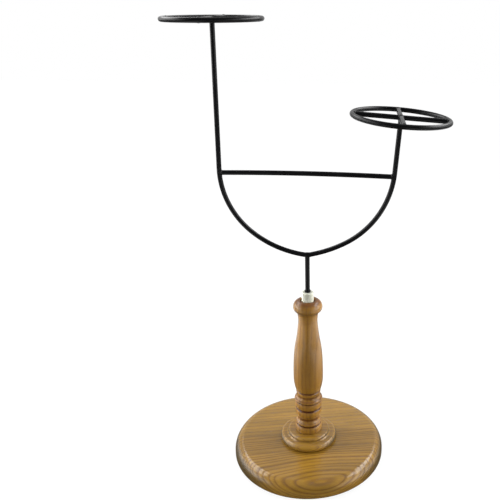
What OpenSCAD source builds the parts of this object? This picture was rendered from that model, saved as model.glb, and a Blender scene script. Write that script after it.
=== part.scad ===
// Two-tier hat and wig display stand: a turned oak foot and post, and a bent wire frame
// that turns in the post's plastic bush and lifts out of it.
// Millimetres. The origin is the centre of the face that the stand rests on, +Z is up,
// the wire frame lies in the XZ plane, and +X points to the shorter arm.

/* [Foot disc] */
// Diameter of the round wooden foot
foot_d = 200; // [180:1:240]
// Height of the foot's top face above the table
foot_top = 22; // [20:0.5:28]
// Radius of the foot's rounded top edge
foot_top_round = 12.5; // [4:0.5:14]
// Radius of the foot's rounded bottom edge
foot_bottom_round = 4; // [1:0.5:4]
// Thickness of the felt disc under the foot
felt_t = 1.5; // [1:0.1:3]
// Diameter of the felt disc
felt_d = 170; // [100:1:180]
// Distance of the glue line between the two boards from the centre
glue_line_offset = 7; // [0:0.5:30]
// Angle of the glue line to the wire frame
glue_line_angle = 12.5; // [-30:0.5:30]

/* [Step ring] */
// Diameter of the lower step
step_lower_d = 75.4; // [60:0.2:90]
// Thickness of the lower step
step_lower_t = 8.4; // [6:0.2:12]
// Diameter of the upper step
step_upper_d = 55.4; // [48:0.2:58]
// Height of the whole step ring
step_ring_h = 13; // [11:0.2:16]

/* [Post] */
// Largest diameter of the vase-shaped grip
vase_d = 39; // [34:0.5:44]
// Diameter of the neck under the knob
neck_d = 25; // [22:0.5:28]
// Diameter of the knob
knob_d = 37.8; // [32:0.2:42]
// Diameter of the tenon that goes down into the foot
tenon_d = 16; // [12:0.5:18]
// Depth of the tenon in the foot
tenon_depth = 10; // [6:0.5:12]

/* [Bush] */
// Outer diameter of the white bush
bush_d = 15.5; // [12:0.1:17]
// Length of the bush
bush_l = 40.4; // [30:0.1:45]
// Height of the bush above the knob
bush_stand = 11.2; // [6:0.1:16]

/* [Wire frame] */
// Diameter of the steel wire
wire_d = 6; // [4:0.1:6]
// Depth of the stem below the top of the bush
stem_depth = 60; // [50:1:62]
// Height at which the two arms meet on the stem
fork_z = 287.3; // [270:0.1:320]
// Distance of the long arm from the stem
long_arm_x = 107.6; // [90:0.1:130]
// Height of the upper ring's centre line
upper_ring_z = 572.8; // [480:0.1:620]
// Distance of the lower ring's centre from the stem
lower_ring_x = 110.9; // [95:0.1:130]
// Height of the lower ring's centre
lower_ring_z = 462.7; // [430:0.1:475]
// Outward lean of the short arm, and the tilt of its ring
short_arm_lean = 4.5; // [0:0.1:6]
// Turn of the lower ring's spokes away from the wire frame
lower_ring_turn = 3; // [-10:1:10]
// Outside diameter of both rings
ring_d = 120; // [80:1:140]
// Height of the crossbar at the arms
crossbar_z = 391.3; // [385:0.1:394]
// Rise of the crossbar's middle above its ends
crossbar_bow = 1.5; // [0.5:0.1:3]

/* [Fasteners] */
// Shank diameter of the wood screw that holds the post
screw_d = 5; // [4:0.1:6]
// Length of the screw under its head
screw_l = 45; // [30:1:50]

/* [Hidden] */
$fn = 96;

oak = "#b98a4e";
oak_dark = "#a87a42";
wire_black = "#1c1c1e";
bush_white = "#e9ebe6";
steel = "#b9bcc0";
felt_green = "#3f4a3c";

foot_r = foot_d / 2;
step_top = foot_top + step_ring_h;
wire_r = wire_d / 2;
ring_r = ring_d / 2 - wire_r;
clearance = 0.05;        // running and glue gaps, on the radius
hole_over = 1;           // how far a cutting tool runs past a face

// Heights along the post, up from the step ring
knob_top = step_top + 190.8;
knob_mid = step_top + 181.5;
neck_z = step_top + 161;
vase_z = step_top + 84;
vase_foot_z = step_top + 62;
bead_r = vase_d / 2 - 2.1;

// Bush and its recess in the knob
bush_top = knob_top + bush_stand;
bush_foot = bush_top - bush_l;
recess_r = 9.8;
recess_depth = 4;
bush_round = 1.6;
stem_foot = bush_top - stem_depth;
stem_hole_r = wire_r + 0.5;

// Screw, washer and their counterbore under the foot
counterbore_r = 8.5;
counterbore_top = felt_t + 5;
washer_r = 7.5;
washer_t = 1.2;
screw_head_r = 4.75;
screw_head_h = 2.8;
screw_tip_l = 6;
pilot_r = screw_d / 2 - 0.3;

// Stop collar on the stem
collar_r = 3.9;
collar_h = 2.5;

// Bends of the two arms, from the arm down to the stem
long_bend = [104, 51, 33.5];     // first radius, its sweep, sweep of the second bend
short_bend = [115, 56.5, 17.5];
bend_fn = 240;
arch_fn = 1440;
wire_join = 0.05;
fork_spare = 3;                  // degrees that an arm runs past the fork before it is cut
fork_cut = 40;

// How far a bend of radius 1 goes sideways and down, between two headings from straight down
function bend_side(h0, h1) = cos(h0) - cos(h1);
function bend_drop(h0, h1) = sin(h1) - sin(h0);

// Straight length of an arm and the radius of its second bend, so that an arm that starts
// [reach, height] away from the fork ends on it
function arm_fit(reach, height, lean, bends) =
    let (h1 = lean + bends[1], h2 = h1 + bends[2],
         side = reach - bends[0] * bend_side(lean, h1),
         drop = height - bends[0] * bend_drop(lean, h1),
         det = sin(lean) * bend_drop(h1, h2) - cos(lean) * bend_side(h1, h2))
    [(side * bend_drop(h1, h2) - drop * bend_side(h1, h2)) / det,
     (drop * sin(lean) - side * cos(lean)) / det];

// Points of an arc from p to q that bulges outwards by sag, or inwards when sag is negative
function bulge(p, q, sag, n = 8) =
    let (d = q - p, len = norm(d), s = abs(sag), r = (len * len / 4 + s * s) / (2 * s),
         side = sign(sag), out = [d[1], -d[0]] / len,
         c = (p + q) / 2 + side * out * (s - r), half = asin(len / (2 * r)))
    [for (i = [0 : n]) let (a = -half + 2 * half * i / n)
        c + r * (side * out * cos(a) + (d / len) * sin(a))];

// Points of an arc about c from angle a0 to a1
function arc(c, r, a0, a1, n = 12) =
    [for (i = [0 : n]) let (a = a0 + (a1 - a0) * i / n) c + r * [cos(a), sin(a)]];

// Smooth curve through knots: a Catmull-Rom spline
function spline_at(p0, p1, p2, p3, t) =
    0.5 * (2 * p1 + (p2 - p0) * t + (2 * p0 - 5 * p1 + 4 * p2 - p3) * t * t
        + (3 * p1 - p0 - 3 * p2 + p3) * t * t * t);
function spline(k, n = 4) =
    [for (i = [1 : len(k) - 3], j = [0 : n - 1]) spline_at(k[i - 1], k[i], k[i + 1], k[i + 2], j / n)];

// Outline of the foot disc, as radius and height
foot_outline = concat(
    [[0, felt_t]],
    arc([foot_r - foot_bottom_round, felt_t + foot_bottom_round], foot_bottom_round, -90, 0, 6),
    arc([foot_r - foot_top_round, foot_top - foot_top_round], foot_top_round, 0, 90, 16),
    [[0, foot_top]]);

// Outline of the step ring, measured up from the foot
step_r = step_lower_d / 2;
step_upper_r = step_upper_d / 2;
step_half = step_lower_t / 2;
step_outline = [for (p = concat(
    arc([step_r - step_half, step_half], step_half, -72, 90, 12),
    bulge([step_upper_r + 2.6, step_lower_t], [step_upper_r - 0.6, step_lower_t + 1], -0.3, 4),
    arc([step_upper_r - 2.1, step_ring_h - 2.1], 2.1, -50, 90, 8),
    [[tenon_d / 2, step_ring_h], [tenon_d / 2, 0]])) [p[0], max(p[1], 0) + foot_top]];

// Outline of the beads and coves at the post's foot, measured up from the step ring
bead_outline = concat(
    bulge([bead_r - 0.6, 0], [bead_r - 0.6, 9.8], 1.1),
    [[bead_r - 1.9, 10.3], [bead_r - 1.9, 11.4]],
    bulge([bead_r - 0.9, 11.8], [bead_r - 0.9, 14.6], 0.5, 4),
    bulge([bead_r - 1.2, 14.9], [bead_r - 0.9, 25.6], -2.2, 10),
    bulge([bead_r - 0.2, 26.0], [bead_r - 0.1, 33.6], 0.5),
    [[bead_r - 1.5, 34.5], [bead_r - 1.5, 35.8]],
    bulge([bead_r, 36.7], [bead_r + 0.2, 45.5], 0.8),
    [[bead_r - 0.7, 45.9], [bead_r - 0.7, 46.6]],
    bulge([bead_r + 0.8, 47.0], [bead_r + 0.5, 49.0], 0.5, 4),
    bulge([bead_r + 0.3, 49.3], [bead_r - 2.3, 53.6], -0.6, 6),
    [[bead_r - 2.3, 55.2], [bead_r - 1.5, 56.0], [bead_r - 1.1, 59.6], [bead_r - 2.3, 60.5],
        [bead_r - 2.3, 61.4], [bead_r - 1.3, 62.1]]);

// Knots of the vase and the neck, as radius and height above the step ring
vase_r = vase_d / 2;
neck_r = neck_d / 2;
waist = (vase_r + neck_r) / 2;
vase_knots = [
    [vase_r - 4.2, 58.8], [vase_r - 2.7, 62.8], [vase_r - 1.1, 69], [vase_r - 0.2, 76], [vase_r, 84],
    [vase_r - 0.1, 95], [vase_r - 0.75, 111], [vase_r - 2.2, 125], [waist - 0.8, 137],
    [neck_r + 1.1, 149], [neck_r, 161], [neck_r + 0.4, 168.5], [neck_r + 1.3, 173.8],
    [neck_r + 2.6, 178],
];

// Outline of the knob: a tight curve below its widest line and a wider one above
knob_r = knob_d / 2;
knob_under = 6.6;
knob_over = knob_top - knob_mid;
knob_outline = concat(
    arc([knob_r - knob_under, knob_mid], knob_under, -66, 0, 10),
    arc([knob_r - knob_over, knob_mid], knob_over, 6, 84, 14));

post_outline = concat(
    [[0, step_top], [bead_r - 0.6, step_top]],
    [for (p = bead_outline) [p[0], p[1] + step_top]],
    [for (p = spline(vase_knots)) [p[0], p[1] + step_top]],
    knob_outline,
    [[recess_r, knob_top], [0, knob_top]]);

module foot_disc() {
    difference() {
        rotate_extrude() polygon(foot_outline);
        translate([0, 0, foot_top - tenon_depth]) cylinder(d = tenon_d, h = tenon_depth + hole_over);
        translate([0, 0, felt_t - hole_over]) cylinder(r = counterbore_r, h = counterbore_top - felt_t + hole_over);
        cylinder(r = screw_d / 2 + 0.3, h = foot_top);
    }
}

// Half of space, in front of (side -1) or behind (side 1) the glue line
module board_side(side) {
    rotate([0, 0, glue_line_angle])
        translate([-foot_d, side > 0 ? glue_line_offset : glue_line_offset - 2 * foot_d, -hole_over])
            cube([2 * foot_d, 2 * foot_d, foot_top + 2 * hole_over]);
}

module foot_front_board() {
    color(oak) intersection() {
        foot_disc();
        board_side(-1);
    }
}

module foot_back_board() {
    color(oak) intersection() {
        foot_disc();
        board_side(1);
    }
}

module felt_disc() {
    color(felt_green) cylinder(d = felt_d, h = felt_t);
}

module step_ring() {
    color(oak) rotate_extrude() polygon(step_outline);
}

module post() {
    tenon_foot = foot_top - tenon_depth;
    color(oak_dark) difference() {
        union() {
            rotate_extrude() polygon(post_outline);
            translate([0, 0, tenon_foot]) cylinder(r = tenon_d / 2 - clearance, h = step_top - tenon_foot + hole_over);
        }
        translate([0, 0, bush_foot - 2 * clearance])
            cylinder(r = bush_d / 2 + clearance, h = knob_top - bush_foot + hole_over);
        translate([0, 0, knob_top - recess_depth])
            cylinder(r1 = recess_r - 0.8, r2 = recess_r, h = recess_depth);
        translate([0, 0, stem_foot - 2]) cylinder(r = stem_hole_r, h = bush_foot - stem_foot + 2);
        translate([0, 0, tenon_foot - hole_over])
            cylinder(r = pilot_r, h = counterbore_top + screw_l - tenon_foot + 2 * hole_over);
    }
}

// Pan-head wood screw that pulls the post down from under the foot
module post_screw() {
    head_z = counterbore_top - washer_t;
    color(steel) difference() {
        union() {
            translate([0, 0, head_z - screw_head_h]) cylinder(r1 = screw_head_r - 0.8, r2 = screw_head_r, h = screw_head_h);
            translate([0, 0, head_z]) cylinder(d = screw_d, h = screw_l - screw_tip_l);
            translate([0, 0, head_z + screw_l - screw_tip_l]) cylinder(d1 = screw_d, d2 = 0.6, h = screw_tip_l);
        }
        for (turn = [0, 90])
            rotate([0, 0, turn]) translate([-2.6, -0.5, head_z - screw_head_h - hole_over])
                cube([5.2, 1, hole_over + 1.4]);
    }
}

module screw_washer() {
    color(steel) translate([0, 0, counterbore_top - washer_t]) difference() {
        cylinder(r = washer_r, h = washer_t);
        translate([0, 0, -hole_over]) cylinder(r = screw_d / 2 + 0.25, h = washer_t + 2 * hole_over);
    }
}

module socket_bush() {
    bush_r = bush_d / 2;
    bore_r = wire_r + clearance;
    lead_in = 0.6;
    outline = concat(
        [[bore_r, bush_foot], [bush_r, bush_foot]],
        arc([bush_r - bush_round, bush_top - bush_round], bush_round, 0, 90, 8),
        [[bore_r + lead_in, bush_top], [bore_r, bush_top - lead_in]]);
    color(bush_white) rotate_extrude() polygon(outline);
}

module stem() {
    color(wire_black) translate([0, 0, stem_foot]) cylinder(r = wire_r, h = fork_z - stem_foot);
}

module stop_collar() {
    edge = 0.6;
    outline = concat(
        [[wire_r, bush_top]],
        arc([collar_r - edge, bush_top + edge], edge, -90, 0, 4),
        arc([collar_r - edge, bush_top + collar_h - edge], edge, 0, 90, 4),
        [[wire_r, bush_top + collar_h]]);
    color(wire_black) rotate_extrude() polygon(outline);
}

// One bend of wire that starts downwards at the origin and curls towards +X
module bend(radius, sweep) {
    translate([radius, 0, 0]) rotate(a = 180, v = [0, 1, -1])
        rotate_extrude(angle = sweep, $fn = bend_fn) translate([radius, 0]) circle(r = wire_r, $fn = 96);
}

module after_bend(radius, sweep) {
    translate([radius * (1 - cos(sweep)), 0, -radius * sin(sweep)]) rotate([0, -sweep, 0]) children();
}

// A hair wider than the wire, so that two stretches of it join as one solid
module wire_joint() {
    sphere(r = wire_r + wire_join);
}

// An arm on the -X side: straight down from its ring at [-reach, 0, top], then two bends to the stem
module arm(reach, top, lean, bends) {
    fit = arm_fit(reach, top - fork_z, lean, bends);
    straight = fit[0];
    difference() {
        translate([-reach, 0, top]) rotate([0, -lean, 0]) translate([0, 0, -straight]) {
            cylinder(r = wire_r, h = straight);
            wire_joint();
            bend(bends[0], bends[1]);
            after_bend(bends[0], bends[1]) {
                wire_joint();
                bend(fit[1], bends[2] + fork_spare);
            }
        }
        translate([0, -fork_cut / 2, fork_z - fork_cut / 2]) cube(fork_cut);
    }
}

module long_arm() {
    color(wire_black) arm(long_arm_x, upper_ring_z, 0, long_bend);
}

module short_arm() {
    color(wire_black) rotate([0, 0, 180]) arm(lower_ring_x, lower_ring_z, short_arm_lean, short_bend);
}

// Crossbar: a shallow arch of wire between the two arms
module crossbar() {
    short_arm_x = lower_ring_x - (lower_ring_z - crossbar_z) * tan(short_arm_lean);
    span = long_arm_x + short_arm_x;
    arch_r = (span * span / 4 + crossbar_bow * crossbar_bow) / (2 * crossbar_bow);
    half = asin(span / (2 * arch_r));
    color(wire_black) translate([(short_arm_x - long_arm_x) / 2, 0, crossbar_z + crossbar_bow - arch_r])
        rotate([90, 0, 0]) rotate([0, 0, 90 - half])
            rotate_extrude(angle = 2 * half, $fn = arch_fn) translate([arch_r, 0]) circle(r = wire_r, $fn = 96);
}

module ring() {
    rotate_extrude() translate([ring_r, 0]) circle(r = wire_r);
}

// The spoke that crosses the whole ring, along X
module spoke() {
    translate([-ring_r, 0, 0]) rotate([0, 90, 0]) cylinder(r = wire_r, h = 2 * ring_r);
}

// A spoke from the long spoke's side to the ring, towards -Y (side -1) or +Y (side 1)
module half_spoke(side) {
    grip = wire_r / 2;
    rotate([side > 0 ? -90 : 90, 0, 0]) translate([0, 0, grip]) cylinder(r = wire_r, h = ring_r - grip);
}

module at_upper_ring() {
    color(wire_black) translate([-long_arm_x, 0, upper_ring_z]) children();
}

module at_lower_ring() {
    color(wire_black) translate([lower_ring_x, 0, lower_ring_z])
        rotate([0, short_arm_lean, 0]) rotate([0, 0, lower_ring_turn]) children();
}

foot_front_board();
foot_back_board();
felt_disc();
step_ring();
post();
post_screw();
screw_washer();
socket_bush();
stem();
stop_collar();
long_arm();
short_arm();
crossbar();
at_upper_ring() ring();  // upper_ring
at_upper_ring() spoke();  // upper_spoke
at_upper_ring() half_spoke(-1);  // upper_half_spoke_front
at_upper_ring() half_spoke(1);  // upper_half_spoke_back
at_lower_ring() ring();  // lower_ring
at_lower_ring() spoke();  // lower_spoke
at_lower_ring() half_spoke(-1);  // lower_half_spoke_front
at_lower_ring() half_spoke(1);  // lower_half_spoke_back
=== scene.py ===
"""Studio scene of a two-tier hat and wig display stand.

The stand is a turned and varnished oak foot and post, a white plastic bush, and a frame of bent
and welded black wire that turns with the bush and lifts out of it. The scene is in metres, in the
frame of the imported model: the origin is the centre of the face that the stand rests on, +Z is up,
and the wire frame lies in the XZ plane. The stand's own sizes are in millimetres.
"""
import logging
import math
from dataclasses import dataclass, field
from enum import Enum

import bmesh
import bpy
from mathutils import Euler, Matrix, Vector


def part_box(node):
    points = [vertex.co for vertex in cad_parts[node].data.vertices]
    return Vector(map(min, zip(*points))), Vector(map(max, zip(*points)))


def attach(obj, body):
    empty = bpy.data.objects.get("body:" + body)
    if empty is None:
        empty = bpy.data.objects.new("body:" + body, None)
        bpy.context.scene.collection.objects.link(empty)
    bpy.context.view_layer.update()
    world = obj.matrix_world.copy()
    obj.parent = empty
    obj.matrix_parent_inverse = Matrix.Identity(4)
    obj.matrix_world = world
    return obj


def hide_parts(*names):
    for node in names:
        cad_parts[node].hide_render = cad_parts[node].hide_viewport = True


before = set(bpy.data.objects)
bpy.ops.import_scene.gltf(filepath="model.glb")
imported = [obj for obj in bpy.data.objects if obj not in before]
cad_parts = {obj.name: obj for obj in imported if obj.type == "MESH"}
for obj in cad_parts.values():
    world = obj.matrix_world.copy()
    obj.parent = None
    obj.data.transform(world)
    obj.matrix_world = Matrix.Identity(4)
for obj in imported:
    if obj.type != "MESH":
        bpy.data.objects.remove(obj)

log = logging.getLogger("hat_stand")

MM = 0.001

Mesh = bpy.types.Mesh
Material = bpy.types.Material
Socket = bpy.types.NodeSocket
Tree = bpy.types.NodeTree
Profile = list[tuple[float, float]]
Colour = tuple[float, float, float]
Bends = tuple[float, float, float]
Span = tuple[float, float]
Shading = tuple[float, float, float, float]
Value = float | tuple | Socket | None


class Slot(Enum):
    """Names of material slots; no piece here is given one."""

    OAK = "varnished_oak"
    WIRE = "black_wire"
    PLASTIC = "white_plastic"


class Body(Enum):
    """The bodies that the pieces of the stand move with."""

    FOOT = "foot"
    BUSH = "bush"
    WIRE_FRAME = "wire_frame"


class Side(Enum):
    """A direction across the stand, as a sign on the Y axis."""

    FRONT = -1
    BACK = 1


# ---------------------------------------------------------------- measuring and outlines


def corners(node: str) -> tuple[Vector, Vector]:
    """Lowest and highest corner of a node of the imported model.

    Args:
        node: The node's name.

    Returns:
        Both corners, in millimetres.
    """
    low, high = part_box(node)
    return low / MM, high / MM


def middle(node: str) -> Vector:
    """Centre of a node's box, in millimetres."""
    low, high = corners(node)
    return (low + high) / 2


def arc(centre: tuple[float, float], radius: float, start: float, end: float, count: int = 16) -> Profile:
    """Points along an arc of an outline.

    Args:
        centre: Radius and height of the arc's centre.
        radius: The arc's own radius.
        start: Angle of the first point, in degrees.
        end: Angle of the last point, in degrees.
        count: Number of steps.

    Returns:
        The points, from start to end.
    """
    points = []
    for step in range(count + 1):
        angle = math.radians(start + (end - start) * step / count)
        points.append((centre[0] + radius * math.cos(angle), centre[1] + radius * math.sin(angle)))
    return points


def bulge(first: tuple[float, float], last: tuple[float, float], sag: float, count: int = 10) -> Profile:
    """Points of an arc between two points of an outline.

    Args:
        first: Where the arc starts.
        last: Where it ends.
        sag: How far its middle stands out, or in when it is negative.
        count: Number of steps.

    Returns:
        The points, both ends included.
    """
    start, end = Vector(first), Vector(last)
    run = end - start
    depth = abs(sag)
    radius = (run.length_squared / 4 + depth * depth) / (2 * depth)
    sign = math.copysign(1, sag)
    out = Vector((run.y, -run.x)).normalized() * sign
    along = run.normalized()
    centre = (start + end) / 2 + out * (depth - radius)
    half = math.asin(run.length / (2 * radius))
    points = []
    for step in range(count + 1):
        angle = half * (2 * step / count - 1)
        spot = centre + radius * (out * math.cos(angle) + along * math.sin(angle))
        points.append((spot.x, spot.y))
    return points


def spline(knots: Profile, count: int = 8) -> Profile:
    """Smooth curve through the inner knots of an outline.

    Args:
        knots: Radius and height of each knot. The outer two only steer the curve.
        count: Steps between two knots.

    Returns:
        The points, without the last inner knot.
    """
    points = []
    for index in range(1, len(knots) - 2):
        p0, p1, p2, p3 = (Vector(knots[index + shift]) for shift in (-1, 0, 1, 2))
        for step in range(count):
            t = step / count
            bend = (2 * p0 - 5 * p1 + 4 * p2 - p3) * t * t
            twist = (3 * p1 - p0 - 3 * p2 + p3) * t * t * t
            spot = 0.5 * (2 * p1 + (p2 - p0) * t + bend + twist)
            points.append((spot.x, spot.y))
    return points


def raised(profile: Profile, height: float) -> Profile:
    """The same outline, moved up by a height."""
    return [(radius, level + height) for radius, level in profile]


def eased(profile: Profile, radius: float = 0.25, sharp: float = 24.0) -> Profile:
    """Rounds the corners of a closed outline, as sanding does.

    Args:
        profile: The outline.
        radius: How far the rounding reaches from a corner.
        sharp: The turn, in degrees, from which a point counts as a corner.

    Returns:
        The outline with each corner cut into a short curve.
    """
    points = []
    for index, spot in enumerate(profile):
        here = Vector(spot)
        before = Vector(profile[index - 1]) - here
        after = Vector(profile[(index + 1) % len(profile)]) - here
        on_axis = spot[0] == 0
        if on_axis or before.length == 0 or after.length == 0:
            points.append(spot)
            continue
        turn = 180 - math.degrees(before.angle(after))
        if turn < sharp:
            points.append(spot)
            continue
        reach = min(radius, 0.4 * before.length, 0.4 * after.length)
        start = here + before.normalized() * reach
        end = here + after.normalized() * reach
        for t in (0, 0.33, 0.67, 1):
            curve = start * (1 - t) ** 2 + here * 2 * t * (1 - t) + end * t * t
            points.append((curve.x, curve.y))
    return points


def hollowness(profile: Profile, reach: float = 5.0, full: float = 1.5) -> list[float]:
    """How deep each point of an outline lies between the points before and after it.

    Args:
        profile: The outline.
        reach: How far along the outline a neighbour counts.
        full: The depth that counts as 1.

    Returns:
        A number from 0 to 1 for each point.
    """
    spots = [Vector(spot) for spot in profile]
    depths = []
    for index, here in enumerate(spots):
        sides = []
        for way in (-1, 1):
            step = index + way
            widest = here.x
            while 0 <= step < len(spots) and (spots[step] - here).length <= reach:
                widest = max(widest, spots[step].x)
                step += way
            sides.append(widest)
        depth = min(sides) - here.x
        depths.append(min(1.0, depth / full))
    return depths


# ---------------------------------------------------------------- meshes and pieces


def tidy_mesh(form: bmesh.types.BMesh, name: str, sharp: float = 34.0) -> Mesh:
    """Turns a bmesh into a mesh with outward, smooth faces.

    Args:
        form: The bmesh, which is freed.
        name: Name of the new mesh.
        sharp: The angle between faces, in degrees, from which an edge stays sharp.

    Returns:
        The new mesh.
    """
    bmesh.ops.remove_doubles(form, verts=form.verts, dist=0.002 * MM)
    bmesh.ops.recalc_face_normals(form, faces=form.faces)
    for face in form.faces:
        face.smooth = True
    mesh = bpy.data.meshes.new(name)
    form.to_mesh(mesh)
    form.free()
    mesh.set_sharp_from_angle(angle=math.radians(sharp))
    return mesh


def turned(profile: Profile, sides: int) -> bmesh.types.BMesh:
    """Turns a closed outline about the Z axis, as on a lathe.

    Args:
        profile: Radius and height of each point, in millimetres. A solid starts and ends on
            the axis, and a ring doesn't touch it.
        sides: Number of steps round the axis.

    Returns:
        A closed bmesh in metres, whose float layer "groove" says how deep a point lies.
    """
    form = bmesh.new()
    groove = form.verts.layers.float.new("groove")
    rings = []
    for (radius, level), depth in zip(profile, hollowness(profile)):
        count = sides if radius > 0 else 1
        ring = []
        for step in range(count):
            angle = math.tau * step / sides
            spot = Vector((radius * math.cos(angle), radius * math.sin(angle), level))
            vert = form.verts.new(spot * MM)
            vert[groove] = depth
            ring.append(vert)
        rings.append(ring)
    for index, ring in enumerate(rings):
        other = rings[(index + 1) % len(rings)]
        if len(ring) == 1 and len(other) == 1:
            continue
        for step in range(sides):
            ahead = step + 1
            loop = [ring[step % len(ring)], ring[ahead % len(ring)]]
            loop += [other[ahead % len(other)], other[step % len(other)]]
            form.faces.new(list(dict.fromkeys(loop)))
    return form


def link(thing: bpy.types.Object) -> None:
    """Puts an object in the scene."""
    bpy.context.scene.collection.objects.link(thing)


def dress(mesh: Mesh, material: Material) -> None:
    """Gives a mesh one material all over."""
    mesh.materials.clear()
    mesh.materials.append(material)


def place(mesh: Mesh, name: str, body: Body, node: str = "") -> None:
    """Puts a finished mesh in the scene as a piece of the stand.

    Args:
        mesh: The mesh, in metres and in the stand's frame.
        name: Name of the piece.
        body: The body that it moves with.
        node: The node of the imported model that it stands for.
    """
    piece = bpy.data.objects.new(name, mesh)
    link(piece)
    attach(piece, body.value)
    if node:
        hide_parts(node)
    log.info("%s: %d faces on %s", name, len(mesh.polygons), body.value)


def place_turned(profile: Profile, sides: int, material: Material, name: str, body: Body,
                 node: str) -> None:
    """Turns a piece from its outline, dresses it and puts it in the scene.

    Args:
        profile: Radius and height of each point, in millimetres.
        sides: Number of steps round the axis.
        material: Its finish.
        name: Name of the piece.
        body: The body that it moves with.
        node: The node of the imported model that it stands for.
    """
    mesh = tidy_mesh(turned(profile, sides), node)
    dress(mesh, material)
    place(mesh, name, body, node)


# ---------------------------------------------------------------- node trees


class Patch:
    """Adds nodes to one tree and joins them."""

    def __init__(self, tree: Tree) -> None:
        """Starts on an empty tree."""
        self.tree = tree
        tree.nodes.clear()

    def feed(self, socket: Socket, value: Value) -> None:
        """Links a socket to another one, or sets its value.

        Args:
            socket: The input socket.
            value: An output socket, or a number, vector, colour or data block.
        """
        if isinstance(value, Socket):
            self.tree.links.new(value, socket)
        elif value is not None:
            if socket.type == "RGBA" and len(value) == 3:
                value = (*value, 1.0)
            socket.default_value = value

    def node(self, kind: str, inputs: dict[str | int, Value] | None = None, **settings) -> bpy.types.Node:
        """Adds a node.

        Args:
            kind: The node's type name.
            inputs: What each input gets, by its name or its place.
            **settings: Properties of the node.

        Returns:
            The new node.
        """
        new = self.tree.nodes.new(kind)
        for key, value in settings.items():
            setattr(new, key, value)
        for key, value in (inputs or {}).items():
            self.feed(new.inputs[key], value)
        return new

    def math(self, operation: str, *values: Value) -> Socket:
        """A Math node's result for up to three values."""
        return self.node("ShaderNodeMath", dict(enumerate(values)), operation=operation).outputs[0]

    def plus(self, first: Value, second: Value) -> Socket:
        """The sum of two numbers."""
        return self.math("ADD", first, second)

    def minus(self, first: Value, second: Value) -> Socket:
        """The first number less the second."""
        return self.math("SUBTRACT", first, second)

    def times(self, first: Value, second: Value) -> Socket:
        """The product of two numbers."""
        return self.math("MULTIPLY", first, second)

    def scaled(self, value: Value, factor: Value, base: Value) -> Socket:
        """A number times a factor, on top of a base."""
        return self.math("MULTIPLY_ADD", value, factor, base)

    def between(self, share: Value, first: Value, second: Value) -> Socket:
        """The number that lies a share of the way from the first to the second."""
        return self.scaled(share, self.minus(second, first), first)

    def vector(self, operation: str, first: Value, second: Value, output: str = "Vector") -> Socket:
        """A Vector Math node's result for two vectors."""
        return self.node("ShaderNodeVectorMath", {0: first, 1: second}, operation=operation).outputs[output]

    def dot(self, first: Value, second: Value) -> Socket:
        """The dot product of two vectors."""
        return self.vector("DOT_PRODUCT", first, second, "Value")

    def join(self, x: Value, y: Value, z: Value) -> Socket:
        """A vector from its three components."""
        return self.node("ShaderNodeCombineXYZ", {0: x, 1: y, 2: z}).outputs[0]

    def stored(self, name: str, kind: str) -> Socket:
        """A named attribute of the points in a Geometry Nodes tree."""
        return self.node("GeometryNodeInputNamedAttribute", {"Name": name}, data_type=kind).outputs[0]

    def spot(self) -> Socket:
        """Place on the piece, in metres."""
        return self.node("ShaderNodeTexCoord").outputs["Object"]

    def bump(self, height: Value, strength: float, depth: float) -> Socket:
        """A surface direction with bumps in it, whose depth is in millimetres."""
        inputs = {"Height": height, "Strength": strength, "Distance": depth * MM}
        return self.node("ShaderNodeBump", inputs).outputs[0]

    def slope(self, value: Value, low: float, high: float, start: float = 0.0, end: float = 1.0,
              smooth: bool = True) -> Socket:
        """Maps a value from one range to another and holds it there.

        Args:
            value: The value to map.
            low: Where the result is start.
            high: Where the result is end.
            start: Result at low.
            end: Result at high.
            smooth: Whether the change eases in and out.

        Returns:
            The mapped value.
        """
        inputs = {"Value": value, "From Min": low, "From Max": high, "To Min": start, "To Max": end}
        kind = "SMOOTHSTEP" if smooth else "LINEAR"
        return self.node("ShaderNodeMapRange", inputs, interpolation_type=kind).outputs[0]

    def mix(self, factor: Value, first: Value, second: Value, blend: str = "MIX") -> Socket:
        """Mixes two colours.

        Args:
            factor: The share of the second one.
            first: The colour at 0.
            second: The colour at 1.
            blend: The way to mix.

        Returns:
            The mixed colour.
        """
        new = self.node("ShaderNodeMix", data_type="RGBA", blend_type=blend)
        factor_socket, first_socket, second_socket = (new.inputs[index] for index in (0, 6, 7))
        self.feed(factor_socket, factor)
        self.feed(first_socket, first)
        self.feed(second_socket, second)
        return new.outputs[2]

    def tinted(self, colour: Value, tone: Value, share: Value = 1.0) -> Socket:
        """A colour times a tone, by a share from 0 to 1."""
        return self.mix(share, colour, self.mix(1.0, colour, tone, "MULTIPLY"))

    def ramp(self, factor: Value, stops: list[tuple[float, Colour]]) -> Socket:
        """A colour that changes with a value.

        Args:
            factor: The value, from 0 to 1.
            stops: Places and colours, lowest place first.

        Returns:
            The colour.
        """
        new = self.node("ShaderNodeValToRGB", {0: factor})
        band = new.color_ramp
        while len(band.elements) < len(stops):
            band.elements.new(1.0)
        for element, (spot, colour) in zip(band.elements, stops):
            element.position = spot
            element.color = (*colour, 1.0)
        return new.outputs[0]

    def noise(self, vector: Value, scale: float, detail: float = 2.0, roughness: float = 0.5) -> Socket:
        """Smooth noise from 0 to 1, about 0.5.

        Args:
            vector: Where it is read.
            scale: How fine it is.
            detail: How many finer layers it has.
            roughness: How strong those are.

        Returns:
            The noise value.
        """
        inputs = {"Vector": vector, "Scale": scale, "Detail": detail, "Roughness": roughness}
        return self.node("ShaderNodeTexNoise", inputs).outputs["Fac"]

    def line_noise(self, along: Value, scale: float) -> Socket:
        """Smooth noise from 0 to 1 of one number."""
        inputs = {"W": along, "Scale": scale, "Detail": 1.0}
        return self.node("ShaderNodeTexNoise", inputs, noise_dimensions="1D").outputs["Fac"]


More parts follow.
